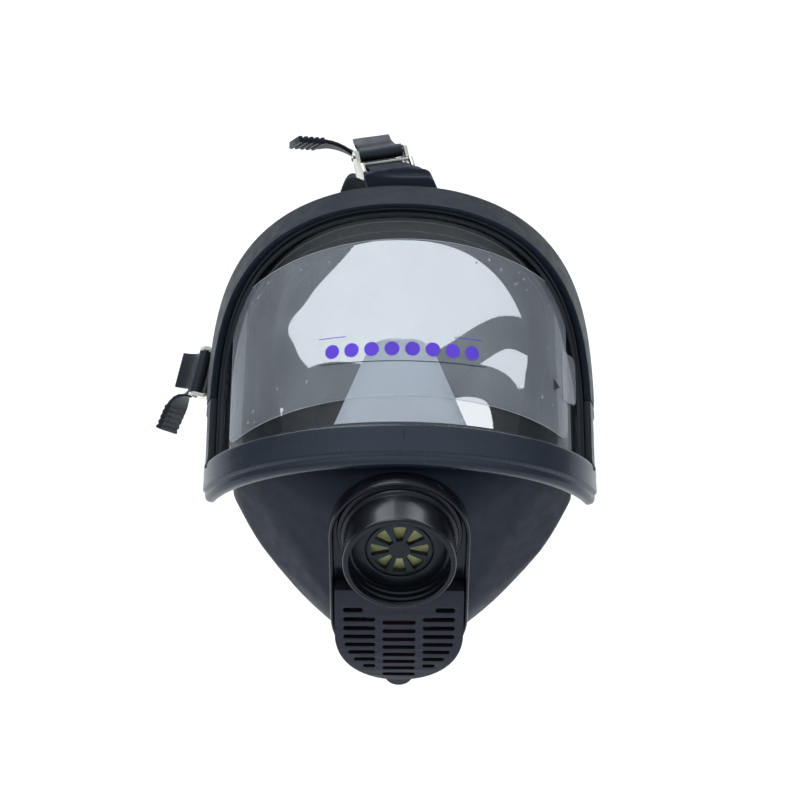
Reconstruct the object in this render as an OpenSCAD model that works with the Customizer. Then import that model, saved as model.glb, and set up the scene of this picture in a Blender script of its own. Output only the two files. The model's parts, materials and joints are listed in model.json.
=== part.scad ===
// Full face respirator: wide visor, two-piece clamp frame, threaded inlet, five-strap harness.
// Millimetres, +Z up, front of the mask faces -Y, origin at the centre of the face opening.

/* [Visor] */
// Outer radius of the cylindrical visor
visor_r = 85; // [75:1:95]
// Visor wall
visor_t = 2.5; // [2:0.1:3.5]
// Backward lean of the visor cylinder, degrees
visor_tilt = 22; // [10:1:30]
// Height of the visor window above its lower rim
visor_h = 95.6; // [80:0.1:110]
// Half arc length of the window along the cylinder
visor_s = 100.5; // [85:0.5:110]
// Height of the straight sides
visor_side = 20; // [10:1:40]

/* [Frame] */
// Front-to-crest width of the slanted upper band at the top
band_w = 15; // [8:0.5:20]
// Width of the frame at the side columns
column_w = 8; // [6:0.2:10]
// How far the crest of the upper band lies behind its front edge
band_back = 12; // [4:1:18]
// Height of the lower front band
low_band_h = 13; // [9:0.5:16]
// Where upper and lower frame meet on the side columns
split_z = 29; // [15:1:40]

/* [Inlet] */
// Downward angle of the inlet axis, degrees
inlet_tilt = 30; // [15:1:45]
// Inner radius of the round-thread port, crest of the female thread
port_bore = 20.25; // [19:0.05:22]
// Outer radius of the port
port_r = 23; // [22:0.5:26]
// Port height above the housing base
port_h = 27; // [20:1:32]
// Length of the threaded bore
port_depth = 9.5; // [8:0.5:9.5]

/* [Exhalation valve] */
// Distance from inlet axis to exhalation valve axis
exh_y = -47; // [-55:1:-40]
// Half width of the valve housing
housing_w = 29.5; // [26:0.5:34]
// Pitch of the cover slots
slot_pitch = 4.1; // [3:0.1:5]
// Slot thickness
slot_t = 2; // [0.8:0.1:2.4]

/* [Rubber] */
// Wall of the face blank
blank_t = 3; // [2:0.5:4]
// Wall of the inner mask
cup_t = 2; // [1.5:0.5:3]
// Strap width
strap_w = 18; // [14:1:22]
// Strap thickness
strap_t = 2; // [1.5:0.1:3]

/* [Hidden] */
$fn = 96;
visor_y = -20;
visor_z = -42;
inlet_y = -92;
inlet_z = -51;
seal_d = 3.4;
frame_r = 91;
e = 0.01;

// ---- frames -------------------------------------------------------------------------------

module at_visor() translate([0, visor_y, visor_z]) rotate([-visor_tilt, 0, 0]) children();
module at_inlet() translate([0, inlet_y, inlet_z]) rotate([90 + inlet_tilt, 0, 0]) children();
module both() { children(); mirror([1, 0, 0]) children(); }

// world point of visor coordinates: arc length s, radius r, height z, shift back b
function vw(s, r, z, b = 0) = let(a = s / visor_r * 180 / PI, f = r * cos(a) - b)
  [r * sin(a), visor_y - f * cos(visor_tilt) + z * sin(visor_tilt),
   visor_z + f * sin(visor_tilt) + z * cos(visor_tilt)];

// ---- window outline on the unrolled cylinder, as [s, z, outward s, outward z] ---------------

win_n = 2.25;
function unit(v) = v / norm(v);
function arch_pt(a) = let(c = cos(a), s = sin(a), k = 2 / win_n,
    u = sign(c) * pow(abs(c), k), v = pow(abs(s), k),
    g = unit([sign(c) * pow(abs(u), win_n - 1) / visor_s,
              pow(v, win_n - 1) / (visor_h - visor_side)]))
  [visor_s * u, visor_side + (visor_h - visor_side) * v, g[0], g[1]];
arch = [for (i = [0:36]) arch_pt(i * 5)];
function column(side, z0, n) = [for (i = [0:n - 1])
  [side * visor_s, z0 + (visor_side - z0) * i / n, side, 0]];
function flip(v) = [for (i = [len(v) - 1:-1:0]) v[i]];
function rim(z0, n) = [for (i = [0:n]) [-visor_s + 2 * visor_s * i / n, z0, 0, -1]];

// closed window outline, offset outward by d, as front-view points at radius r
function front_x(s, r) = r * sin(s / visor_r * 180 / PI);
function window_pts(d, r) = concat(
  [[front_x(-visor_s - d, r), -d], [front_x(visor_s + d, r), -d]],
  [for (p = arch) [front_x(p[0] + d * p[2], r), p[1] + d * p[3]]]);
module window_prism(d, r, back = 0) translate([0, -back, 0]) rotate([90, 0, 0])
  linear_extrude(120) polygon(window_pts(d, r));

// sweep: stations [s, z, ns, nz], section [d, r, b] per station
module sweep(stations, sect, closed = false) {
  n = len(stations);
  m = len(sect[0]);
  pts = [for (i = [0:n - 1]) for (q = sect[i])
    vw(stations[i][0] + q[0] * stations[i][2], q[1], stations[i][1] + q[0] * stations[i][3], q[2])];
  last = closed ? n - 1 : n - 2;
  sides = [for (i = [0:last]) for (j = [0:m - 1]) let(k = (i + 1) % n, l = (j + 1) % m)
    each [[i * m + j, k * m + j, k * m + l], [i * m + j, k * m + l, i * m + l]]];
  caps = closed ? [] : [[for (j = [0:m - 1]) j], [for (j = [m - 1:-1:0]) (n - 1) * m + j]];
  polyhedron(points = pts, faces = concat(sides, caps), convexity = 8);
}

// ---- visor, seal and clamp frame -----------------------------------------------------------

module tube(r1, r0, z0, z1) translate([0, 0, z0]) difference() {
  cylinder(r = r1, h = z1 - z0, $fn = 180);
  translate([0, 0, -1]) cylinder(r = r0, h = z1 - z0 + 2, $fn = 180);
}

// half arc length of the window at height z, grown by d
function half_w(z, d) = z < 0 ? visor_s : let(u = min(max((z - visor_side) / (visor_h - visor_side + d), 0), 1))
  (visor_s + d) * pow(1 - pow(u, win_n), 1 / win_n);
visor_d = 2;
visor_rows = 20;
visor_cols = 28;
module visor() color([0.8, 0.86, 0.9, 0.35]) {
  m = visor_cols + 1;
  n = (visor_rows + 1) * m;
  pts = [for (r = [visor_r, visor_r - visor_t]) for (i = [0:visor_rows]) for (j = [0:visor_cols])
    let(z = (visor_h + 2 * visor_d) * sin(90 * i / visor_rows) - visor_d)
    vw(max(half_w(z, visor_d), 6) * (2 * j / visor_cols - 1), r, z)];
  skin = [for (i = [0:visor_rows - 1]) for (j = [0:visor_cols - 1]) let(a = i * m + j, b = n + a)
    each [[a, a + m, a + m + 1], [a, a + m + 1, a + 1], [b, b + 1, b + m + 1], [b, b + m + 1, b + m]]];
  ends = [for (j = [0:visor_cols - 1]) let(a = j, b = visor_rows * m + j)
    each [[a, a + 1, n + a + 1], [a, n + a + 1, n + a], [b + 1, b, n + b], [b + 1, n + b, n + b + 1]]];
  sides = [for (i = [0:visor_rows - 1]) let(a = i * m, b = i * m + visor_cols)
    each [[a + m, a, n + a], [a + m, n + a, n + a + m], [b, b + m, n + b + m], [b, n + b + m, n + b]]];
  polyhedron(points = pts, faces = concat(skin, ends, sides), convexity = 6);
}

// corner stations that turn from the column into the lower rim
function corner(side, n) = [for (i = [1:n - 1]) let(a = 90 * i / n)
  [side * visor_s, 0, side * cos(a), -sin(a)]];
loop = concat(arch, flip(column(-1, 0, 5)), corner(-1, 4),
  rim(0, 36), flip(corner(1, 4)), column(1, 0, 5));

module visor_seal() color([0.12, 0.13, 0.15]) sweep(loop, [for (p = loop) [
  [-1.6, visor_r + 0.25, 0], [-1.2, visor_r + 1.6, 0], [-0.3, visor_r + 1.9, 0],
  [0.3, visor_r + 1.1, 0], [0.9, visor_r + 2.3, 0], [seal_d, visor_r + 2.6, 0],
  [seal_d, visor_r - visor_t - 2.2, 0], [-2.6, visor_r - visor_t - 2, 0],
  [-3, visor_r - visor_t - 0.25, 0], [2.25, visor_r - visor_t - 0.25, 0],
  [2.25, visor_r + 0.25, 0]]], true);

module visor_film() color([0.9, 0.92, 1, 0.25]) at_visor() {
  intersection() {
    tube(visor_r + 0.4, visor_r + 0.1, 8, 90);
    window_prism(-5, visor_r);
    translate([0, 0, -157]) rotate([90, 0, 0]) cylinder(r = 240, h = 120, $fn = 180);
    translate([-70, -100, 12]) cube([145, 90, 80]);
  }
  translate([71.6, -46.2, 28]) cube([11, 0.4, 20]);
}

upper_stations = concat([[visor_s - 0.1, split_z, 1, 0]],
  [for (p = arch) if (p[1] > split_z + 1) p], [[-visor_s + 0.1, split_z, -1, 0]]);
function crest(p) = column_w + (band_w - column_w) * pow(max(p[3], 0), 0.8);
screw_x = 83.6;
screw_f = 20;
module ear(z0, z1) difference() {
  union() {
    translate([screw_x, -screw_f, z0]) cylinder(r = 4, h = z1 - z0, $fn = 48);
    translate([screw_x - 3.2, -screw_f - 9, z0]) cube([4.2, 9, z1 - z0]);
  }
  translate([screw_x, -screw_f, z0 - 1]) cylinder(r = 1.5, h = z1 - z0 + 2, $fn = 48);
}

module upper_frame() color([0.24, 0.26, 0.29]) {
  sweep(upper_stations, [for (p = upper_stations) let(c = crest(p), b = band_back * max(p[3], 0)) [
    [0.9, frame_r - 3, 0], [0.9, frame_r - 0.6, 0], [1.8, frame_r, 0],
    [c + 0.9, frame_r - 0.5, b], [c + 1.5, frame_r - 1.5, b], [c + 1.5, frame_r - 6, b],
    [seal_d + 2.2, visor_r - 4, b / 3], [seal_d + 0.3, visor_r - 4, 0],
    [seal_d + 0.3, frame_r - 3, 0]]]);
  at_visor() both() ear(split_z + 0.4, split_z + 7);
}

module lower_frame() color([0.06, 0.06, 0.07]) at_visor() {
  intersection() {
    union() {
      tube(frame_r, frame_r - 3, -low_band_h, -0.9);
      tube(frame_r - 0.6, visor_r - 2.5, -low_band_h, -seal_d - 0.3);
      tube(frame_r - 1, visor_r + 0.6, -low_band_h - 4.5, -low_band_h + 0.1);
    }
    translate([-88, -100, -30]) cube([176, 100 - 22, 40]);
  }
  both() {
    intersection() {
      tube(frame_r, visor_r - 4, -low_band_h - 4.5, split_z - 0.15);
      translate([82.6, -33, -30]) cube([5.4, 9.8, 70]);
    }
    ear(split_z - 5, split_z - 0.15);
  }
}

module frame_screws() color([0.55, 0.56, 0.58]) at_visor() both()
  translate([screw_x, -screw_f, split_z - 7.5]) difference() {
    union() {
      cylinder(r = 2.8, h = 2.5, $fn = 48);
      cylinder(r = 1.5, h = 13, $fn = 48);
    }
    translate([0, 0, -1]) cylinder(r = 1.3, h = 2.5, $fn = 6);
  }

// ---- valve housing --------------------------------------------------------------------------

module stadium(r, z0, z1, y1 = 0) translate([0, 0, z0]) linear_extrude(z1 - z0) union() {
  translate([0, y1]) circle(r, $fn = 120);
  translate([0, exh_y + 1]) circle(r, $fn = 120);
  translate([-r, exh_y + 1]) square([2 * r, y1 - exh_y - 1]);
}
module bore(r, z0, z1, y = 0) translate([0, y, z0]) cylinder(r = r, h = z1 - z0);

grid_z = 14;
gasket_r = 19.5;
gasket_z = grid_z + 1.8;
module valve_housing() color([0.05, 0.05, 0.06]) at_inlet() difference() {
  union() {
    stadium(housing_w, 0, 4, -2.5);
    difference() {
      stadium(housing_w, 0, 8, -2.5);
      stadium(housing_w - 2, -1, 9, -2.5);
    }
    bore(26, 3, 7.5);
    bore(port_r + 1, 7, 10);
    bore(port_r, 9, port_h);
    bore(21.5, -8, 1);
    bore(17.5, -6, 1, exh_y);
    bore(19.5, -8, -5.9, exh_y);
  }
  bore(port_bore, port_h - port_depth, port_h + 1);
  bore(gasket_r, gasket_z, port_h);
  bore(17, grid_z, port_h);
  bore(15, -11, grid_z + 1);
  bore(14.5, -9, 5, exh_y);
}

module inlet_gasket() color([0.1, 0.1, 0.11]) at_inlet() difference() {
  bore(gasket_r, gasket_z, gasket_z + 1.5);
  bore(14, 0, port_h);
}

module spokes(n, r, w, z0, z1) for (i = [0:n - 1]) rotate([0, 0, 22.5 + i * 360 / n])
  translate([0, -w / 2, z0]) cube([r, w, z1 - z0]);

module window(w) intersection() {
  difference() {
    circle(11.8);
    circle(4.4);
  }
  polygon([[0, 0], [16 * cos(w), -16 * sin(w)], [18, 0], [16 * cos(w), 16 * sin(w)]]);
}
module inhalation_grid() color([0.09, 0.09, 0.1]) at_inlet() {
  difference() {
    bore(17, grid_z, gasket_z);
    bore(12.8, 0, port_h);
  }
  difference() {
    bore(14, grid_z - 0.8, grid_z + 0.2);
    bore(12.8, 0, port_h);
  }
  translate([0, 0, grid_z + 0.8]) linear_extrude(2.4) difference() {
    circle(13.4);
    for (i = [0:7]) rotate(i * 45) window(15);
  }
  bore(3.4, grid_z + 1, grid_z + 3.3);
  bore(1.5, grid_z - 5.4, grid_z + 1);
  bore(3, grid_z - 6.4, grid_z - 5.2);
}

module inhalation_valve() color([0.8, 0.8, 0.45]) at_inlet() difference() {
  bore(13.8, grid_z - 2.3, grid_z - 1.1);
  bore(1.85, 0, grid_z);
}

module housing_ring() color([0.1, 0.1, 0.11]) at_inlet() difference() {
  bore(23.8, -blank_t - 3, -blank_t);
  bore(21.5, -20, 5);
  for (i = [0:5]) rotate([0, 0, i * 60]) translate([22.7, -2, -blank_t - 4]) cube([3, 4, 3]);
}

module exhalation_seat() color([0.12, 0.12, 0.13]) at_inlet() translate([0, exh_y, 0]) {
  difference() {
    bore(14.5, 0.5, 5);
    bore(11.5, -1, 6);
  }
  difference() {
    union() {
      spokes(4, 12, 2, 0.5, 2.5);
      bore(4, 0.5, 3.5);
    }
    bore(1.9, -1, 6);
  }
}

module exhalation_valve() color([0.75, 0.3, 0.2]) at_inlet() translate([0, exh_y, 0]) {
  bore(13.8, 5.3, 6.3);
  bore(1.5, -2.4, 6);
  bore(2.6, -3.6, -2.2);
}

cover_r = housing_w - 2.4;
cover_y = -26.5;
module cover_solid(r, drop) intersection() {
  stadium(r, 4.3, 24, -2.5);
  translate([-40, -56, 18 - 70 - drop]) rotate([0, 90, 0]) cylinder(r = 70, h = 80, $fn = 240);
  translate([-40, -90, 0]) cube([80, 90 + cover_y - drop, 30]);
}
slot_r = cover_r - 2.6 - slot_t;
function slot_half(y) = let(q = min(y - exh_y - 1, 0)) sqrt(max(0, slot_r * slot_r - q * q));
module slot(x0, x1, y) translate([0, y, 0]) {
  translate([x0, -slot_t / 2, 8]) cube([x1 - x0, slot_t, 20]);
  for (x = [x0, x1]) translate([x, 0, 8]) cylinder(r = slot_t / 2, h = 20, $fn = 24);
}
module exhalation_cover() color([0.05, 0.05, 0.06]) at_inlet() difference() {
  union() {
    cover_solid(cover_r, 0);
    translate([0, -70.5, 11]) cylinder(r = 6, h = 4.5, $fn = 48);
  }
  cover_solid(cover_r - 2, 2);
  for (i = [0:7]) slot(-6, 6, -40 - i * slot_pitch);
  for (i = [0:6]) let(y = -38.7 - i * slot_pitch) both() slot(11, slot_half(y), y);
  both() slot(16.2, slot_half(-34.6), -34.6);
}

// ---- face blank and inner mask ----------------------------------------------------------------

seal_pts = [[0, -24, 82], [30, -20, 78], [54, -10, 60], [67, 0, 32], [67, 3, 0], [61, 1, -34],
  [48, -8, -68], [28, -18, -94], [0, -24, -102], [56, -42, -64], [38, -44, -88],
  [20, -44, -105], [66, -42, -46]];
frame_pts = concat([for (i = [0:3:36]) let(p = arch[i])
    vw(p[0] + 4 * p[2], visor_r - 9, p[1] + 4 * p[3] + 9 * p[3] * p[3], 5 * p[3] + 3 * p[3])],
  [for (i = [-6:6]) vw(i * 16.6, visor_r - 9, -7)]);
module blank_hull(r) hull() {
  for (p = frame_pts) translate(p) sphere(r, $fn = 20);
  for (p = seal_pts) for (s = [-1, 1]) translate([s * p[0], p[1], p[2]]) sphere(r, $fn = 20);
  at_inlet() {
    translate([0, 0, -4]) cylinder(r = 23.5 + r / 2, h = r, $fn = 48);
    translate([0, exh_y + 1, -4]) cylinder(r = 23 + r, h = r, $fn = 48);
  }
}
opening_pts = [for (i = [0:71]) let(a = i * 5, c = cos(a), s = sin(a))
  [63 * sign(c) * pow(abs(c), 0.85), -8 + (s > 0 ? 76 : 78) * sign(s) * pow(abs(s), 0.85)]];

module face_blank() color([0.17, 0.18, 0.22]) {
  difference() {
    blank_hull(4);
    blank_hull(4 - blank_t);
    at_visor() {
      window_prism(-3, visor_r, 26);
      tube(visor_r + 40, visor_r - visor_t - 2.5, -3.9, 130);
      tube(visor_r + 40, visor_r - visor_t - 0.2, -low_band_h - 5, -3.8);
    }
    translate([0, 60, 0]) rotate([90, 0, 0]) linear_extrude(95) polygon(opening_pts);
    at_inlet() {
      bore(21.5, -20, 5);
      bore(17.5, -20, 5, exh_y);
    }
  }
  difference() {
    translate([0, -30, 0]) rotate([90, 0, 0]) linear_extrude(13)
      polygon([[-18, 82], [-14, 95.5], [14, 95.5], [18, 82]]);
    at_buckle(buckle_top) across(1.6, 40, 0, 0);
  }
  for (b = buckles) at_buckle(b) lug(b[3]);
}

cup_pts = [[5, -46, 12], [17, -52, -21], [26, -46, -56], [14, -42, -86]];
cup_r = [11.5, 14, 15, 12];
cup_back = -24;
module cup_hull(g) hull() {
  for (i = [0:3]) for (s = [-1, 1]) for (y = [cup_pts[i][1], cup_back])
    translate([s * cup_pts[i][0], y, cup_pts[i][2]]) sphere(cup_r[i] - g, $fn = 24);
  at_inlet() translate([0, exh_y, -5.9 + (g > 0 ? -3 : 0)]) cylinder(r = 21 - g, h = 1, $fn = 48);
}
module cup_cut() translate([0, -33, -30]) rotate([-6, 0, 0]) translate([-60, 0, -100])
  cube([120, 60, 220]);
check_y = -46;
check_z = -50;
module at_check(s) translate([s * 39, check_y, check_z]) rotate([0, s * 90, 0]) children();
module nose_cup() color([0.85, 0.87, 0.9, 0.8]) difference() {
  union() {
    cup_hull(0);
    for (s = [-1, 1]) at_check(s) bore(12, -6, 2);
    at_inlet() bore(20.5, -5.8, -blank_t - 0.1, exh_y);
  }
  cup_hull(cup_t);
  cup_cut();
  for (s = [-1, 1]) at_check(s) bore(10, -20, 5);
  at_inlet() {
    bore(17.5, -20, 5, exh_y);
    bore(19.6, -20, -5.85, exh_y);
  }
}

module nose_cup_valve_seats() color([0.2, 0.2, 0.22]) for (s = [-1, 1]) at_check(s) {
  difference() {
    bore(10, -6, 2);
    bore(8, -7, 3);
  }
  difference() {
    bore(11.5, 2, 3.2);
    bore(8, 1, 4);
  }
  spokes(4, 8.5, 1.6, -1, 1);
  bore(2.4, -1, 1);
  bore(1.2, -4.4, 0);
  bore(2.1, -5.2, -4.2);
}
module check_disc(s) at_check(s) difference() {
  bore(7.5, -2.4, -1.4);
  bore(1.55, -5, 1);
}
module nose_cup_valve_left() color([0.9, 0.9, 0.85]) check_disc(-1);
module nose_cup_valve_right() color([0.9, 0.9, 0.85]) check_disc(1);

// ---- harness, buckles ----------------------------------------------------------------------------

// buckle frames: origin on the lug bar, direction of the lug, outward normal, lug length
function orth(x, z) = unit(z - (z * x) * x);
function buckle(o, x, z, l) = [o, unit(x), orth(unit(x), z), l];
buckle_top = buckle([-6, -32, 98], [-0.25, 0.95, 0.15], [-0.12, -0.15, 0.97], 9);
buckle_tr = buckle([75, 8, 6], [-0.06, 1, 0.05], [1, 0.06, 0.12], 12);
buckle_tl = buckle([-83, 4, 5], [-0.42, 0.86, -0.1], [-0.85, -0.42, 0.3], 17);
buckle_jr = buckle([53, 9, -57], [0.06, 0.97, -0.15], [0.86, -0.1, -0.5], 12);
buckle_jl = buckle([-53, 9, -57], [-0.06, 0.97, -0.15], [-0.86, -0.1, -0.5], 12);
buckles = [buckle_top, buckle_tr, buckle_tl, buckle_jr, buckle_jl];
module at_buckle(b) let(y = cross(b[2], b[1])) multmatrix([
  [b[1][0], y[0], b[2][0], b[0][0]], [b[1][1], y[1], b[2][1], b[0][1]],
  [b[1][2], y[2], b[2][2], b[0][2]]]) children();
function bw(b, p) = b[0] + p[0] * b[1] + p[1] * cross(b[2], b[1]) + p[2] * b[2];

module across(r, w, x, z) translate([x, w / 2, z]) rotate([90, 0, 0]) cylinder(r = r, h = w, $fn = 48);
module lug(l) difference() {
  union() {
    across(3.6, 19, 0, 0);
    translate([-l, -9.5, -3]) cube([l, 19, 5.6]);
    translate([-l, -13, -3.4]) cube([l - 5, 26, 5.4]);
  }
  across(1.6, 30, 0, 0);
}
pin_x = 12.5;
pin_z = 7.6;
module buckle_frame(b) color([0.75, 0.75, 0.76]) at_buckle(b) {
  across(1.6, 22, 0, 0);
  across(1.6, 22, 9, 0);
  both_y() difference() {
    translate([0, 12, 0]) rotate([90, 0, 0]) linear_extrude(1.6)
      polygon([[-2.4, -2], [-2.4, 2], [1, 5.4], [7, 5.4], [9, 9.8], [16, 9.8], [16, 3], [13, -2]]);
    across(1.25, 40, pin_x, pin_z);
  }
  translate([2, -11.2, 3.9]) cube([4, 22.4, 1.2]);
}
module both_y() { children(); mirror([0, 1, 0]) children(); }
module buckle_lever(b) color([0.07, 0.07, 0.08]) at_buckle(b) difference() {
  union() {
    across(3, 20, pin_x, pin_z);
    translate([0, 8.5, 0]) rotate([90, 0, 0]) linear_extrude(17) polygon([
      [pin_x + 0.6, pin_z + 2.7], [pin_x + 6, pin_z + 3], [pin_x + 11, pin_z + 4.2],
      [pin_x + 14.4, pin_z + 6.4], [pin_x + 15.4, pin_z + 5.2], [pin_x + 11.8, pin_z + 2.6],
      [pin_x + 6.4, pin_z + 1.2], [pin_x + 1, pin_z + 0.4]]);
  }
  across(1.25, 40, pin_x, pin_z);
}
module buckle_pins() color([0.75, 0.75, 0.76]) for (b = buckles) at_buckle(b)
  across(1.2, 25.6, pin_x, pin_z);

// ribbon: stations [point, width direction, width]
function cr(a, b, c, d, t) = 0.5 * (2 * b + (c - a) * t + (2 * a - 5 * b + 4 * c - d) * t * t
  + (3 * b - a - 3 * c + d) * t * t * t);
function smooth(k, n) = [for (i = [1:len(k) - 3]) for (j = [0:n - 1]) let(t = j / n) [
  cr(k[i - 1][0], k[i][0], k[i + 1][0], k[i + 2][0], t),
  cr(k[i - 1][1], k[i][1], k[i + 1][1], k[i + 2][1], t),
  cr(k[i - 1][2], k[i][2], k[i + 1][2], k[i + 2][2], t)]];
module ribbon(k) {
  n = len(k);
  pts = [for (i = [0:n - 1]) let(t = unit(k[min(i + 1, n - 1)][0] - k[max(i - 1, 0)][0]),
      w = orth(t, k[i][1]), m = cross(t, w), hw = k[i][2] / 2, ht = strap_t / 2)
    for (q = [[-hw, -ht], [hw, -ht], [hw, ht], [-hw, ht]]) k[i][0] + q[0] * w + q[1] * m];
  polyhedron(points = pts, faces = concat([[0, 1, 2, 3],
    [4 * n - 1, 4 * n - 2, 4 * n - 3, 4 * n - 4]],
    [for (i = [0:n - 2]) for (j = [0:3]) let(a = 4 * i + j, b = 4 * i + (j + 1) % 4)
      each [[a, b + 4, b], [a, a + 4, b + 4]]]), convexity = 8);
}
// the strap inside a buckle: in along the head side, round the bar, out under the lever
function wrap(b) = let(w = cross(b[2], b[1])) concat(
  [[bw(b, [17, 0, -2.8]), w, strap_w], [bw(b, [12, 0, -2.8]), w, strap_w]],
  [for (i = [0:8]) let(a = 270 - i * 22.5)
    [bw(b, [9 + 2.8 * cos(a), 0, 2.8 * sin(a)]), w, strap_w]],
  [[bw(b, [12, 0, 2.8]), w, strap_w]]);
function strap(b, main, tail) = let(w = cross(b[2], b[1]),
    s0 = [bw(b, [24, 0, -2.9]), w, strap_w], s1 = [bw(b, [17, 0, -2.8]), w, strap_w],
    s2 = [bw(b, [9, 0, -2.8]), w, strap_w],
    t0 = [bw(b, [12, 0, 2.8]), w, strap_w], t1 = [bw(b, [17, 0, 2.8]), w, strap_w],
    t2 = [bw(b, [23, 0, 2.9]), w, strap_w])
  concat(smooth(concat([facing(main, w)[0]], facing(main, w), [s0, s1, s2]), 4), wrap(b),
    smooth(concat([t0, t1, t2], facing(tail, w), [facing(tail, w)[len(tail) - 1]]), 4));
// keys whose width direction is turned to agree with the buckle's
function facing(k, w) = [for (q = k) [q[0], (q[1] * w < 0 ? -1 : 1) * q[1], q[2]]];
pad_c = [0, 62, -14];
module head_harness() color([0.13, 0.14, 0.17]) {
  translate(pad_c + [0, 1.4, 0]) rotate([90, 0, 0]) {
    cylinder(r = 25, h = 2.8);
    translate([0, 12, 0]) cylinder(r = 14, h = 2.8);
    translate([0, 0, 0.4]) linear_extrude(2) polygon([[-12, 16], [-24, 13], [-34, 8], [-46, 14],
      [-56, 18], [-60, 6], [-50, -4], [-42, -14], [-36, -24], [-12, -22]]);
  }
  ribbon(strap(buckle_top, [[pad_c + [-14, 0, 4], [0.5, 0, 0.9], 20],
    [[-36, 60, -12], [0.4, 0, 0.9], 18], [[-54, 59, 0], [0.75, 0.1, 0.6], 18],
    [[-62, 57, 13], [0.9, 0.3, 0.3], 18], [[-62, 55, 27], [0.4, 0.85, -0.1], 18],
    [[-52, 50, 48], [0.75, 0.2, -0.6], 18], [[-29, 40, 74], [0.75, 0, -0.6], 18],
    [[-18, 18, 96], [0.95, 0.1, -0.2], 18]],
    [[[-20, -2, 108], [0.7, 0.7, 0], 18], [[-33, -12, 113], [0.2, 0.9, -0.3], 18],
     [[-48, -18, 113], [0, 0.9, -0.4], 18]]));
  ribbon(strap(buckle_tr, [[pad_c + [10, 0, 12], [-0.4, 0, 0.9], 20],
    [pad_c + [28, -2, 24], [-0.4, 0, 0.9], 18], [[52, 58, 24], [-0.3, 0, 1], 17],
    [[70, 48, 18], [0, 0, 1], 17]],
    [[[78, 44, -2], [-0.2, 0, 0.9], 18], [[72, 58, -10], [-0.2, 0, 0.9], 18],
     [[62, 66, -14], [-0.2, 0, 0.9], 18]]));
  ribbon(strap(buckle_tl, [[pad_c + [-10, 0, 0], [0.2, 0, 1], 20],
    [[-32, 61, -18], [0.2, 0, 1], 18], [[-56, 58, -9], [0.4, 0.6, 0.7], 17],
    [[-72, 53, -1], [0.3, 0.9, 0.4], 17], [[-86, 46, 0], [0, 0.5, 0.9], 17]],
    [[[-102, 31, -3], [0.4, 0.5, 0.75], 18], [[-109, 31, -12], [0.5, 0.85, 0.1], 18],
     [[-114, 30, -23], [0.4, 0.9, 0], 18]]));
  for (s = [-1, 1]) ribbon(strap(s > 0 ? buckle_jr : buckle_jl,
    [[pad_c + [s * 10, 0, 10], [s * -0.2, 0, 1], 20], [[s * 33, 60, 0], [0, 0.3, 0.9], 18],
    [[s * 47 + 2, 55, -4], [s * 0.5, 0.3, 0.7], 18], [[s * 53 + 2, 50, -17], [s * 0.9, 0.2, 0.3], 18],
    [[s * 54 + 1, 45, -36], [s * 0.9, 0, 0.4], 17]],
    [[[s * 61, 40, -67], [s * 0.5, 0, 0.85], 18], [[s * 60, 51, -73], [s * 0.5, 0, 0.8], 18],
     [[s * 55, 61, -77], [s * 0.5, 0, 0.8], 18]]));
}

module buckle_frame_top() buckle_frame(buckle_top);
module buckle_frame_temple_left() buckle_frame(buckle_tl);
module buckle_frame_temple_right() buckle_frame(buckle_tr);
module buckle_frame_jaw_left() buckle_frame(buckle_jl);
module buckle_frame_jaw_right() buckle_frame(buckle_jr);
module buckle_lever_top() buckle_lever(buckle_top);
module buckle_lever_temple_left() buckle_lever(buckle_tl);
module buckle_lever_temple_right() buckle_lever(buckle_tr);
module buckle_lever_jaw_left() buckle_lever(buckle_jl);
module buckle_lever_jaw_right() buckle_lever(buckle_jr);

face_blank();
visor();
visor_seal();
visor_film();
upper_frame();
lower_frame();
frame_screws();
valve_housing();
inlet_gasket();
inhalation_grid();
inhalation_valve();
housing_ring();
exhalation_seat();
exhalation_valve();
exhalation_cover();
nose_cup();
nose_cup_valve_seats();
nose_cup_valve_left();
nose_cup_valve_right();
head_harness();
buckle_frame_top();
buckle_frame_temple_left();
buckle_frame_temple_right();
buckle_frame_jaw_left();
buckle_frame_jaw_right();
buckle_lever_top();
buckle_lever_temple_left();
buckle_lever_temple_right();
buckle_lever_jaw_left();
buckle_lever_jaw_right();
buckle_pins();
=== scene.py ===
# Full face respirator: the finished look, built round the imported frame.
import json
import random
from math import copysign, cos, pi, radians, sin, sqrt

import bmesh
import bpy
from mathutils import Matrix, Vector


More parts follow.
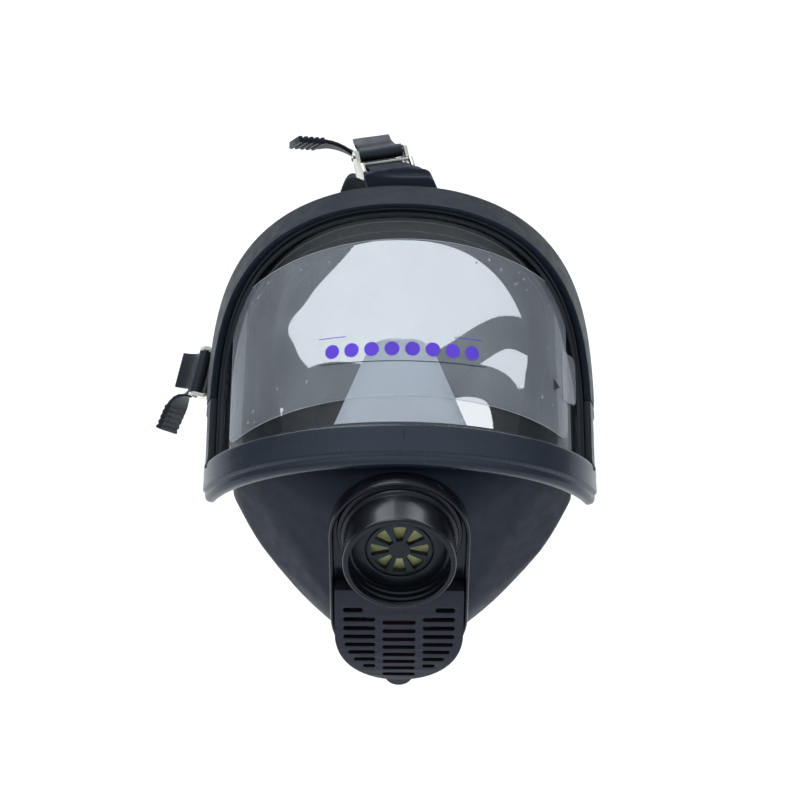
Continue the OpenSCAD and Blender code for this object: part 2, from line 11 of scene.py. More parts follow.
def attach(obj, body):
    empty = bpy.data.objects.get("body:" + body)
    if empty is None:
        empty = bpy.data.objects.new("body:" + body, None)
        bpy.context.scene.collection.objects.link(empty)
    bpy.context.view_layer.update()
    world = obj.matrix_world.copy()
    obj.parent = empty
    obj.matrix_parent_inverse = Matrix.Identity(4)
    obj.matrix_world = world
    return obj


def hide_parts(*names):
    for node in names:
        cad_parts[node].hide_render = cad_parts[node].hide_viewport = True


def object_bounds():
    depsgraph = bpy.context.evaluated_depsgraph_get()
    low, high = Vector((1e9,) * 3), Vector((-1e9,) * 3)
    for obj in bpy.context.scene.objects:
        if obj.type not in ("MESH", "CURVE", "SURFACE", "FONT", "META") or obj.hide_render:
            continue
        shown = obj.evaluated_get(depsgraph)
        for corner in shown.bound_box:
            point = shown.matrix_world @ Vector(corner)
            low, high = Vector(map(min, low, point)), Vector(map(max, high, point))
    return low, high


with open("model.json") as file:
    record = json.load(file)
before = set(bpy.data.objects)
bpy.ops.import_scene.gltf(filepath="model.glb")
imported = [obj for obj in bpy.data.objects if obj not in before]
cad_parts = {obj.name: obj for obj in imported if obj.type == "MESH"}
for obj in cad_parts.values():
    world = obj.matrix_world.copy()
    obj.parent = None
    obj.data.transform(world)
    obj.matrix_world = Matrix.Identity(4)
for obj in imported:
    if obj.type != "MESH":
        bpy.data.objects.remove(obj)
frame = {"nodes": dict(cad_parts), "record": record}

CAD_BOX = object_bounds()
MM = 0.001
random.seed(7)

# ---- driving dimensions, in millimetres, as in the design ----

VISOR_R = 85.0
VISOR_T = 2.5
VISOR_S = 100.5
VISOR_H = 95.6
VISOR_SIDE = 20.0
WINDOW_POWER = 2.25
FRAME_R = 91.0
SEAL_D = 3.4
BAND_W = 15.0
COLUMN_W = 8.0
BAND_BACK = 12.0
SPLIT_Z = 29.0
LOW_BAND_H = 13.0
PORT_R = 23.0
PORT_BORE = 20.25
PORT_H = 27.0
PORT_DEPTH = 9.5
GRID_Z = 14.0
THREAD_PITCH = 3.6
EXH_Y = -47.0
HOUSING_W = 29.5
STRAP_T = 2.0


def shift(x, y, z):
    return Matrix.Translation((x, y, z))


def turn(degrees, axis):
    return Matrix.Rotation(radians(degrees), 4, axis)


VISOR_AT = shift(0, -20, -42) @ turn(-22, "X")
INLET_AT = shift(0, -92, -51) @ turn(120, "X")


def on_visor(s, r, z, back=0.0):
    """World point of arc length s, radius r and height z on the visor's cylinder, moved back."""
    a = s / VISOR_R
    return VISOR_AT @ Vector((r * sin(a), back - r * cos(a), z))


# ---- mesh tools ----


def loft(rings, loop=False):
    """Vertices and faces of the surface through rings of equal length, capped unless it closes."""
    n, m = len(rings), len(rings[0])
    verts = [Vector(p) for ring in rings for p in ring]
    faces = []
    for i in range(n if loop else n - 1):
        k = (i + 1) % n
        faces += [(i * m + j, i * m + (j + 1) % m, k * m + (j + 1) % m, k * m + j) for j in range(m)]
    if not loop:
        faces += [tuple(range(m)), tuple((n - 1) * m + j for j in reversed(range(m)))]
    return verts, faces


def merge(*parts):
    verts, faces = [], []
    for v, f in parts:
        faces += [tuple(i + len(verts) for i in face) for face in f]
        verts += v
    return verts, faces


def moved(part, matrix):
    return [matrix @ Vector(v) for v in part[0]], part[1]


def mirrored(part):
    return [Vector((-v.x, v.y, v.z)) for v in part[0]], [tuple(reversed(f)) for f in part[1]]


def fillet(points, radii, n=4):
    """A closed outline with its corners rounded, each by its own radius."""
    out = []
    for i, p in enumerate(points):
        p, before, after = Vector(p), Vector(points[i - 1]), Vector(points[(i + 1) % len(points)])
        r = radii if isinstance(radii, (int, float)) else radii[i]
        if r <= 0:
            out.append(p)
            continue
        a = p + (before - p).normalized() * min(r, (before - p).length * 0.48)
        b = p + (after - p).normalized() * min(r, (after - p).length * 0.48)
        for j in range(n + 1):
            t = j / n
            out.append(a * (1 - t) ** 2 + p * (2 * t * (1 - t)) + b * t * t)
    return out


def turned(outline, n=96):
    """A closed outline of (radius, z) turned about Z."""
    rings = []
    for i in range(n):
        c, s = cos(2 * pi * i / n), sin(2 * pi * i / n)
        rings.append([Vector((p[0] * c, p[0] * s, p[1])) for p in outline])
    return loft(rings, loop=True)


def circle(r, n=48, y=0.0):
    return [(r * cos(2 * pi * i / n), y + r * sin(2 * pi * i / n)) for i in range(n)]


def slab(outline, z0, z1):
    """A flat outline raised from z0 to z1."""
    return loft([[Vector((x, y, z)) for x, y in outline] for z in (z0, z1)])


def stadium(r, n=32):
    """Outline of two half circles about the two valve axes, joined by straight sides."""
    top = -2.5
    upper = [(r * cos(pi * i / n), top + r * sin(pi * i / n)) for i in range(n + 1)]
    low = EXH_Y + 1
    lower = [(-r * cos(pi * i / n), low - r * sin(pi * i / n)) for i in range(n + 1)]
    return upper + lower


def block(low, high, round_by):
    """A box with rounded upright edges and eased ends."""
    (x0, y0, z0), (x1, y1, z1) = low, high
    corners = [(x0, y0), (x1, y0), (x1, y1), (x0, y1)]
    outline = fillet(corners, round_by, 3)
    mid = Vector(((x0 + x1) / 2, (y0 + y1) / 2))
    ease = min(0.35, (z1 - z0) / 4)
    size = min(x1 - x0, y1 - y0)
    rings = []
    for z, k in ((z0, 1 - 0.7 / size), (z0 + ease, 1), (z1 - ease, 1), (z1, 1 - 0.7 / size)):
        rings.append([Vector((*(mid + (p - mid) * k), z)) for p in outline])
    return loft(rings)


def catmull(points, n, closed=False):
    """A smooth curve through points, with n steps between neighbours."""
    points = [Vector(p) for p in points]
    out = []
    count = len(points)
    for i in range(count if closed else count - 1):
        a = points[i - 1] if closed or i else points[0]
        b, c = points[i], points[(i + 1) % count]
        d = points[(i + 2) % count] if closed else points[min(i + 2, count - 1)]
        for j in range(n):
            t = j / n
            out.append(0.5 * (2 * b + (c - a) * t + (2 * a - 5 * b + 4 * c - d) * t * t
                              + (3 * b - a - 3 * c + d) * t ** 3))
    if not closed:
        out.append(points[-1])
    return out


def taken(bm):
    """Vertices and faces out of a working mesh, which is then freed."""
    bm.verts.index_update()
    part = [v.co.copy() for v in bm.verts], [tuple(v.index for v in f.verts) for f in bm.faces]
    bm.free()
    return part


def linked(name, data):
    obj = bpy.data.objects.new(name, data)
    bpy.context.scene.collection.objects.link(obj)
    return obj


def as_mesh(name, part):
    mesh = bpy.data.meshes.new(name)
    mesh.from_pydata([v * MM for v in part[0]], [], part[1])
    bm = bmesh.new()
    bm.from_mesh(mesh)
    bmesh.ops.remove_doubles(bm, verts=bm.verts, dist=1e-7)
    bmesh.ops.dissolve_degenerate(bm, edges=bm.edges, dist=1e-7)
    bmesh.ops.recalc_face_normals(bm, faces=bm.faces)
    bm.to_mesh(mesh)
    bm.free()
    return mesh


def piece(name, mesh, material, nodes=(), body="facepiece", sharp=38):
    """A finished piece: shaded, painted, and riding on its body in place of its CAD nodes."""
    if isinstance(mesh, tuple):
        mesh = as_mesh(name, mesh)
    obj = linked(name, mesh)
    mesh.materials.append(material)
    mesh.shade_smooth()
    mesh.set_sharp_from_angle(angle=radians(sharp))
    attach(obj, body)
    if nodes:
        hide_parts(*nodes)
    return obj


def evaluated(obj):
    graph = bpy.context.evaluated_depsgraph_get()
    mesh = bpy.data.meshes.new_from_object(obj.evaluated_get(graph))
    obj.modifiers.clear()
    obj.data = mesh
    return mesh


def scratch(name, mesh):
    """A working object, deleted once it has been used."""
    return linked(name, as_mesh(name, mesh) if isinstance(mesh, tuple) else mesh)


def carve(obj, *cutters, how="DIFFERENCE"):
    """Cuts each solid out of obj, or joins each to it."""
    for cutter in cutters:
        tool = scratch("cutter", cutter)
        m = obj.modifiers.new("cut", "BOOLEAN")
        m.object, m.operation, m.solver = tool, how, "EXACT"
        evaluated(obj)
        bpy.data.objects.remove(tool)
    return obj


def softened(obj, voxel, rounds):
    """Moulded skin: an even mesh with its edges eased."""
    m = obj.modifiers.new("voxels", "REMESH")
    m.mode, m.voxel_size = "VOXEL", voxel * MM
    m = obj.modifiers.new("ease", "SMOOTH")
    m.factor, m.iterations = 0.5, rounds
    mesh = evaluated(obj)
    bpy.data.objects.remove(obj)
    return mesh


def clean_copy(node):
    """A CAD node's mesh, welded, with its flat faces joined."""
    bm = bmesh.new()
    bm.from_mesh(frame["nodes"][node].data)
    bmesh.ops.remove_doubles(bm, verts=bm.verts, dist=2e-6)
    bmesh.ops.dissolve_limit(bm, angle_limit=radians(1.5), verts=bm.verts, edges=bm.edges)
    mesh = bpy.data.meshes.new(node + "_copy")
    bm.to_mesh(mesh)
    bm.free()
    return mesh


def crisp(name, node, material, body="facepiece", edge=0.3, sharp=50):
    """The CAD shape with its sharp edges rounded, as a moulding has them."""
    obj = scratch(name + "_tmp", clean_copy(node))
    m = obj.modifiers.new("edges", "BEVEL")
    m.width, m.segments, m.limit_method = edge * MM, 3, "ANGLE"
    m.angle_limit, m.use_clamp_overlap = radians(32), True
    mesh = evaluated(obj)
    bpy.data.objects.remove(obj)
    mesh.materials.clear()
    return piece(name, mesh, material, [node], body, sharp)


# ---- materials ----


class Paint:
    """A small helper that builds one node material in metres of the row frame."""

    def __init__(self, name):
        self.material = bpy.data.materials.new(name)
        self.material.use_nodes = True
        self.tree = self.material.node_tree
        self.tree.nodes.clear()
        self.place = self.add("TexCoord").outputs["Object"]

    def add(self, kind, links=(), **values):
        node = self.tree.nodes.new("ShaderNode" + kind)
        for key, value in values.items():
            if hasattr(node, key):
                setattr(node, key, value)
            else:
                node.inputs[key.replace("_", " ")].default_value = value
        for socket, source in dict(links).items():
            self.tree.links.new(source, node.inputs[socket])
        return node

    def noise(self, size_mm, detail=4.0, rough=0.55, stretch=None):
        place = self.place
        if stretch:
            place = self.add("Mapping", {"Vector": place}, Scale=stretch).outputs[0]
        node = self.add("TexNoise", {"Vector": place}, Scale=1000.0 / size_mm, Detail=detail)
        node.inputs["Roughness"].default_value = rough
        return node.outputs["Fac"]

    def scaled(self, value, low, high, to_low=0.0, to_high=1.0):
        node = self.add("MapRange", {"Value": value})
        for socket, number in zip(("From Min", "From Max", "To Min", "To Max"),
                                  (low, high, to_low, to_high)):
            node.inputs[socket].default_value = number
        return node.outputs["Result"]

    def times(self, a, b):
        return self.add("Math", {0: a, 1: b}, operation="MULTIPLY").outputs[0]

    def mixed(self, factor, a, b):
        """Colour a to colour b by factor; a colour is a tuple or a socket."""
        node = self.add("Mix", {"Factor": factor}, data_type="RGBA")
        for socket, colour in ((node.inputs[6], a), (node.inputs[7], b)):
            if isinstance(colour, tuple):
                socket.default_value = (*colour, 1)
            else:
                self.tree.links.new(colour, socket)
        return node.outputs[2]

    def bump(self, height, depth_mm, before=None):
        links = {"Height": height}
        if before is not None:
            links["Normal"] = before
        node = self.add("Bump", links, Strength=1.0, Distance=depth_mm * MM)
        return node.outputs[0]

    def output(self, shader):
        self.add("OutputMaterial", {"Surface": shader})
        return self.material


COOL_GLINT = (0.74, 0.84, 1.0, 1)


def moulded(name, colour, rough, grain=(0.5, 0.02), swell=(9, 0.05), mottle=0.18, bloom=0.0,
            bloom_colour=(0.2, 0.22, 0.26), specks=0.0, worn=0.35, scratch=0.0, metal=0.0,
            coat=0.0, spec=0.5, under=0.0, spread=0.15, glow=0.0):
    """Plastic, rubber or metal with grain, cloudy colour, dust, worn edges and fine scratches."""
    p = Paint(name)
    dark = tuple(c * (1 - mottle) for c in colour)
    light = tuple(min(1.0, c * (1 + mottle)) for c in colour)
    cloud = p.scaled(p.noise(16, 3), 0.35, 0.65)
    tone = p.mixed(cloud, dark, light)
    if bloom:
        patch = p.times(p.scaled(p.noise(24, 5, 0.6), 0.48, 0.72), p.scaled(p.noise(1.3, 3), 0.3, 0.7))
        tone = p.mixed(p.scaled(patch, 0, 1, 0, bloom), tone, bloom_colour)
    if specks:
        dots = p.scaled(p.noise(0.8, 2, 0.4), 0.7, 0.76, 0, specks)
        tone = p.mixed(dots, tone, tuple(min(1.0, c * 3 + 0.25) for c in colour))
    edges = p.scaled(p.add("NewGeometry").outputs["Pointiness"], 0.52, 0.6, 0, worn)
    rubbed = p.times(edges, p.scaled(p.noise(2.2, 4), 0.35, 0.6))
    tone = p.mixed(rubbed, tone, tuple(min(1.0, c * 2.2 + 0.02) for c in colour))
    dull = min(1, rough + spread / 2)
    gloss = p.scaled(p.noise(6, 4, 0.6), 0.3, 0.7, max(0.03, rough - spread / 2), dull)
    normal = p.bump(p.noise(swell[0], 2), swell[1])
    normal = p.bump(p.noise(grain[0], 3, 0.6), grain[1], normal)
    if scratch:
        lines = p.noise(0.35, 2, 0.5, stretch=(1, 0.06, 0.35))
        more = p.noise(0.4, 2, 0.5, stretch=(0.08, 0.5, 1))
        normal = p.bump(p.scaled(lines, 0.62, 0.7), scratch * 0.01, normal)
        normal = p.bump(p.scaled(more, 0.64, 0.7), scratch * 0.01, normal)
        gloss = p.add("Math", {0: gloss, 1: p.scaled(lines, 0.62, 0.75, 0, 0.12 * scratch)}).outputs[0]
    shader = p.add("BsdfPrincipled", {"Base Color": tone, "Roughness": gloss, "Normal": normal},
                   Metallic=metal, Coat_Weight=coat, Specular_IOR_Level=spec, Subsurface_Weight=under)
    if not metal:
        shader.inputs["Specular Tint"].default_value = COOL_GLINT
    if coat:
        shader.inputs["Coat Roughness"].default_value = 0.08
    if under:
        shader.inputs["Subsurface Radius"].default_value = (0.004, 0.004, 0.005)
        shader.inputs["Subsurface Scale"].default_value = 1.0
    if glow:
        passing = p.add("BsdfTranslucent", {"Normal": normal}, Color=(*[glow * c for c in colour], 1))
        shader = p.add("AddShader", {0: shader.outputs[0], 1: passing.outputs[0]})
    return p.output(shader.outputs[0])


def clear(name, tint, rough, ior, haze=0.02, wave=(30, 0.02), milk=0.0):
    """See-through plastic with faint waves and hairline scratches; lamps shine through it."""
    p = Paint(name)
    gloss = p.scaled(p.noise(14, 4), 0.4, 0.75, rough, rough + haze)
    normal = p.bump(p.noise(wave[0], 2), wave[1])
    hair = p.noise(0.5, 2, 0.5, stretch=(1, 0.5, 0.05))
    normal = p.bump(p.scaled(hair, 0.7, 0.76), 0.0005, normal)
    shader = p.add("BsdfPrincipled", {"Roughness": gloss, "Normal": normal}, IOR=ior)
    shader.inputs["Base Color"].default_value = (*tint, 1)
    shader.inputs["Transmission Weight"].default_value = 1.0
    if milk:
        cloud = p.scaled(p.noise(30, 5, 0.6, stretch=(1, 1, 0.5)), 0.3, 0.7, milk * 0.5, milk)
        bloom = p.add("BsdfDiffuse", Color=(0.8, 0.85, 0.92, 1))
        shader = p.add("MixShader", {0: cloud, 1: shader.outputs[0], 2: bloom.outputs[0]})
    open_air = p.add("BsdfTransparent")
    open_air.inputs["Color"].default_value = (*[0.97 * sqrt(c) for c in tint], 1)
    ray = p.add("LightPath")
    passing = p.add("Math", {0: ray.outputs["Is Shadow Ray"], 1: ray.outputs["Is Diffuse Ray"]},
                    operation="MAXIMUM").outputs[0]
    mix = p.add("MixShader", {0: passing, 1: shader.outputs[0], 2: open_air.outputs[0]})
    return p.output(mix.outputs[0])


RUBBER = moulded("face_rubber", (0.0085, 0.011, 0.022), 0.5, grain=(0.7, 0.006), swell=(16, 0.06),
                 mottle=0.2, bloom=0.3, bloom_colour=(0.03, 0.035, 0.05), specks=0.04, worn=0.05, spec=0.25)
SEAL = moulded("seal_rubber", (0.005, 0.0055, 0.0075), 0.4, grain=(0.5, 0.008), swell=(8, 0.01), worn=0.05)
SLATE = moulded("frame_slate", (0.008, 0.0125, 0.021), 0.46, grain=(0.35, 0.01), swell=(22, 0.02),
                mottle=0.08, bloom=0.1, bloom_colour=(0.05, 0.056, 0.066), specks=0.05, scratch=0.15,
                worn=0.1, spec=0.2)
GLOSS = moulded("frame_black", (0.016, 0.022, 0.034), 0.25, grain=(0.6, 0.003), swell=(30, 0.02),
                mottle=0.06, specks=0.04, scratch=0.2, coat=0.2, worn=0.04, spread=0.06)
HOUSING = moulded("housing_black", (0.0062, 0.0062, 0.0095), 0.2, grain=(0.7, 0.003), swell=(26, 0.012),
                  mottle=0.08, specks=0.05, scratch=0.15, coat=0.15, worn=0.05, spread=0.05, spec=0.35)
COVER = moulded("cover_black", (0.0135, 0.012, 0.0185), 0.33, grain=(0.5, 0.006), swell=(20, 0.012),
                mottle=0.08, specks=0.06, scratch=0.12, worn=0.08, spread=0.06)
BLACK = moulded("black_plastic", (0.0085, 0.0095, 0.0125), 0.38, grain=(0.4, 0.006), specks=0.05, worn=0.1)
STEEL = moulded("steel", (0.42, 0.43, 0.45), 0.34, grain=(0.3, 0.01), metal=1.0, scratch=0.8,
                mottle=0.08)
NICKEL = moulded("nickel", (0.62, 0.6, 0.54), 0.2, grain=(0.4, 0.004), metal=1.0, scratch=0.5,
                 mottle=0.1, bloom=0.25, bloom_colour=(0.2, 0.17, 0.12))
YELLOW = moulded("valve_yellow", (0.85, 0.85, 0.4), 0.45, grain=(0.5, 0.01), under=0.3, mottle=0.1)
RED = moulded("valve_red", (0.2, 0.045, 0.03), 0.45, grain=(0.5, 0.01), under=0.2, mottle=0.12)
WHITE = moulded("valve_white", (0.72, 0.72, 0.66), 0.45, grain=(0.5, 0.01), under=0.3, mottle=0.05)
SILICONE = moulded("cup_silicone", (0.72, 0.73, 0.75), 0.4, grain=(0.8, 0.01), swell=(18, 0.06),
                   mottle=0.03, worn=0.05, glow=0.7)
STRAP = moulded("strap_rubber", (0.01, 0.0115, 0.0165), 0.5, grain=(0.45, 0.015), swell=(10, 0.03),
                mottle=0.15, bloom=0.25, bloom_colour=(0.03, 0.034, 0.045), specks=0.06, worn=0.1,
                spec=0.35)
LEVER = moulded("lever_black", (0.012, 0.0145, 0.019), 0.4, grain=(0.4, 0.01), bloom=0.15, worn=0.15,
                bloom_colour=(0.03, 0.035, 0.045))
VIOLET = moulded("print_violet", (0.15, 0.06, 0.78), 0.4, grain=(0.3, 0.002), mottle=0.08, worn=0)
INK = moulded("print_ink", (0.012, 0.012, 0.018), 0.4, grain=(0.3, 0.002), mottle=0.1, worn=0)
RIDGE = moulded("film_edge", (0.5, 0.52, 0.55), 0.3, grain=(0.3, 0.002), mottle=0.2, worn=0)
VISOR = clear("visor_clear", (0.73, 0.745, 0.755), 0.012, 1.5)
FILM = clear("film_clear", (0.86, 0.87, 0.89), 0.01, 1.4, haze=0.02, wave=(18, 0.03), milk=0.14)


# ---- window outline and the sweeps round it ----


def arch_point(degrees):
    """Point and outward normal (s, z, ns, nz) of the window's arched edge."""
    c, s, k = cos(radians(degrees)), sin(radians(degrees)), 2 / WINDOW_POWER
    u, v = copysign(abs(c) ** k, c), abs(s) ** k
    rise = VISOR_H - VISOR_SIDE
    g = Vector((copysign(abs(u) ** (WINDOW_POWER - 1), c) / VISOR_S, v ** (WINDOW_POWER - 1) / rise))
    g.normalize()
    return VISOR_S * u, VISOR_SIDE + rise * v, g.x, g.y


ARCH = [arch_point(1.25 * i) for i in range(145)]


def column(side, z0, n):
    return [(side * VISOR_S, z0 + (VISOR_SIDE - z0) * i / n, side, 0) for i in range(n)]


def window_loop():
    """The whole edge of the window: arch, left column, lower rim and right column."""
    def corner(side):
        turns = [radians(90 * i / 8) for i in range(1, 8)]
        return [(side * VISOR_S, 0, side * cos(a), -sin(a)) for a in turns]
    rim = [(-VISOR_S + VISOR_S * i / 48, 0, 0, -1) for i in range(97)]
    return ARCH + column(-1, 0, 12)[::-1] + corner(-1) + rim + corner(1)[::-1] + column(1, 0, 12)


def swept(stations, section):
    """Rings of a section (d, r, b) carried along stations; section may depend on the station."""
    rings = []
    for s, z, ns, nz in stations:
        ring = section(s, z, ns, nz) if callable(section) else section
        rings.append([on_visor(s + d * ns, r, z + d * nz, b) for d, r, b in ring])
    return rings


def make_seal():
    r, t = VISOR_R, VISOR_T
    outline = [(-1.9, r + 0.25, 0), (-1.5, r + 1.5, 0), (-0.9, r + 2.0, 0), (-0.3, r + 1.9, 0),
               (0.05, r + 0.9, 0), (0.5, r + 0.9, 0), (0.8, r + 2.3, 0), (1.5, r + 2.7, 0),
               (2.1, r + 2.3, 0), (2.4, r + 1.5, 0), (SEAL_D, r + 1.6, 0),
               (SEAL_D, r - t - 2.2, 0), (-2.6, r - t - 2, 0), (-3, r - t - 0.25, 0),
               (2.25, r - t - 0.25, 0), (2.25, r + 0.25, 0)]
    soft = [0.2, 0.4, 0.4, 0.4, 0.3, 0.3, 0.5, 0.6, 0.4, 0.4, 0.3, 0.8, 0.9, 0.2, 0, 0]
    def section(s, z, ns, nz):
        hide = 1 - max(-nz, 0)
        return fillet([(d * hide if d < 0 and q > r else d, q, b) for d, q, b in outline], soft, 3)
    piece("visor_gasket", loft(swept(window_loop(), section), loop=True), SEAL, ["visor_seal"])


def crest(nz):
    up = max(nz, 0)
    return COLUMN_W + (BAND_W - COLUMN_W) * up ** 0.8 + 2.4 * sin(pi * sqrt(up))


def frame_section(s, z, ns, nz):
    c, b, r = crest(nz), BAND_BACK * max(nz, 0), FRAME_R
    outline = [(0.9, r - 3, 0), (0.9, r - 0.5, 0), (1.7, r, 0), (2.5, r - 0.1, 0.05 * b),
               (c + 0.7, r - 0.4, b), (c + 1.5, r - 1.4, b), (c + 1.5, r - 6, b),
               (SEAL_D + 2.2, VISOR_R - 4, b / 3), (SEAL_D + 0.3, VISOR_R - 4, 0),
               (SEAL_D + 0.3, r - 3, 0)]
    return fillet(outline, [0.3, 0.4, 0.5, 0.5, 0.6, 0.7, 0.8, 0.6, 0.3, 0.2], 3)


SCREW_X = 83.6
SCREW_F = 20.0


def ear(z0, z1):
    outline = fillet([(1.5, z0), (4, z0), (4, z1), (1.5, z1)], [0.2, 0.5, 0.5, 0.2], 3)
    eye = moved(turned(outline, 48), shift(SCREW_X, -SCREW_F, 0))
    bar = block((SCREW_X - 3.2, -SCREW_F - 9, z0), (SCREW_X + 1, -SCREW_F - 3.2, z1), 0.6)
    both = merge(eye, bar)
    return merge(moved(both, VISOR_AT), mirrored(moved(both, VISOR_AT)))


def make_upper_frame():
    stations = [(VISOR_S - 0.1, SPLIT_Z + 0.1, 1, 0), (VISOR_S - 0.15, SPLIT_Z + 0.7, 1, 0)]
    stations += [p for p in ARCH if p[1] > SPLIT_Z + 1]
    stations += [(-p[0], p[1], -1, 0) for p in stations[1::-1]]
    body = loft(swept(stations, frame_section))
    piece("frame_upper_band", merge(body, ear(SPLIT_Z + 0.4, SPLIT_Z + 7)), SLATE, ["upper_frame"])


def make_lower_frame():
    """Front band with a raised lower bead and a tucked-under lip, closed by rounded tips."""
    r, low = FRAME_R, -LOW_BAND_H
    outline = [(r - 5.6, -0.3), (r - 0.9, -0.1), (r - 0.1, -0.9), (r - 0.25, -6), (r - 0.1, low + 2.6),
               (r + 0.0, low + 1.2), (r - 0.5, low + 0.3), (r - 1.3, low - 0.4), (r - 1.1, low - 1.6),
               (r - 1.6, low - 3.6), (r - 2.8, low - 4.4), (r - 5.2, low - 4.5), (r - 5.4, low + 1),
               (r - 8.4, low + 1.4), (r - 8.4, -SEAL_D - 0.5), (r - 5.4, -SEAL_D - 0.4)]
    section = fillet(outline, [0.3, 0.8, 0.8, 1, 1, 0.8, 0.6, 0.5, 0.5, 1, 1.2, 0.8, 0.5, 0.6, 0.5, 0.5], 3)
    reach, tip = 112.6, 6.5
    steps = [-reach + tip * (1 - cos(radians(11.25 * i))) for i in range(9)]
    steps += [-reach + tip + (2 * (reach - tip)) * i / 120 for i in range(1, 120)]
    steps += [-s for s in steps[8::-1]]
    middle = Vector((r - 3.2, low / 2 - 2.2))
    rings = []
    for s in steps:
        inset = max(0.0, (abs(s) - (reach - tip)) / tip)
        k = max(0.12, sqrt(max(0.0, 1 - inset * inset)))
        ring = []
        for p in section:
            q = middle + Vector(((p[0] - middle.x) * (0.55 + 0.45 * k), (p[1] - middle.y) * k))
            ring.append(on_visor(s, min(q.x, r), q.y))
        rings.append(ring)
    band = merge(loft(rings), ear(SPLIT_Z - 5, SPLIT_Z - 0.15))
    piece("frame_lower_band", band, GLOSS, ["lower_frame"], sharp=42)
    # A small groove on the band's top, drawn as a thin raised line in dark print ink: the ink's darkness is
    # painted shade of the groove, not print.
    scored = ((-0.3, 0), (-0.2, 0.88), (0.2, 0.88), (0.3, 0))
    mark = [[on_visor(s + 1.5, FRAME_R - 1 + h, z) for s, h in scored] for z in (-1.4, -4, -6.6)]
    piece("frame_groove_painted_shade", loft(mark), INK)


def make_columns():
    """Dark side columns below the upper frame, flush with it, each with a round foot on the band."""
    top, foot, bend = SPLIT_Z - 0.3, -2.4, 4.0
    heights = [foot + bend * (1 - cos(radians(15 * i))) for i in range(7)]
    heights += [foot + bend + (top - foot - bend) * i / 12 for i in range(1, 13)]
    rings = []
    for z in heights:
        low = max(0.0, (foot + bend - z) / bend)
        k = max(0.15, sqrt(1 - low * low))
        ring = [(4.9 + (d - 4.9) * k, r - 0.35 + 0.8 * low, b) for d, r, b in frame_section(0, z, 1, 0)]
        rings.append([on_visor(VISOR_S - 0.1 + d, r, z, b) for d, r, b in ring])
    column_part = loft(rings)
    piece("frame_side_columns", merge(column_part, mirrored(column_part)), SEAL)


def half_width(z, d=0.0):
    """Half arc length of the window at height z, grown by d."""
    rise = VISOR_H - VISOR_SIDE + d
    up = min(max((z - VISOR_SIDE) / rise, 0), 1)
    return (VISOR_S + d) * (1 - up ** WINDOW_POWER) ** (1 / WINDOW_POWER)


def sheet(front, back, rows, columns):
    """A thin closed sheet between two grids of points."""
    m, off = columns + 1, len(front)
    faces = []
    for i in range(rows):
        for j in range(columns):
            a = i * m + j
            faces.append((a, a + 1, a + m + 1, a + m))
            faces.append((off + a, off + a + m, off + a + m + 1, off + a + 1))
    edge = list(range(m)) + [i * m + columns for i in range(1, rows + 1)]
    edge += [rows * m + j for j in reversed(range(columns))] + [i * m for i in reversed(range(1, rows))]
    for a, b in zip(edge, edge[1:] + edge[:1]):
        faces.append((a, off + a, off + b, b))
    return front + back, faces


def make_visor():
    rows, columns, low, high = 60, 140, -1.95, VISOR_H + 1.95
    front, back = [], []
    for i in range(rows + 1):
        z = low + (high - low) * sin(pi / 2 * i / rows)
        wide = max(half_width(z, 2) if z > 0 else VISOR_S, 0.4)
        for j in range(columns + 1):
            s = wide * (2 * j / columns - 1)
            front.append(on_visor(s, VISOR_R, z))
            back.append(on_visor(s, VISOR_R - VISOR_T, z))
    piece("visor_lens", sheet(front, back, rows, columns), VISOR, ["visor"], sharp=60)


FILM_R = VISOR_R + 0.4


def film_top(s):
    return 83.4 - 0.00172 * (s - 4) ** 2


def film_low(s):
    return 13.3 - 0.0011 * (s - 4) ** 2


def dome(s, z, size, high):
    """A flat air bubble under the film."""
    rings = []
    for k, up in ((1.0, 0.02), (0.86, 0.5), (0.5, 0.87), (0.12, 1.0)):
        rings.append([on_visor(s + size * k * cos(a * pi / 4), FILM_R - 0.02 + high * up,
                               z + size * k * sin(a * pi / 4)) for a in range(8)])
    return loft(rings)


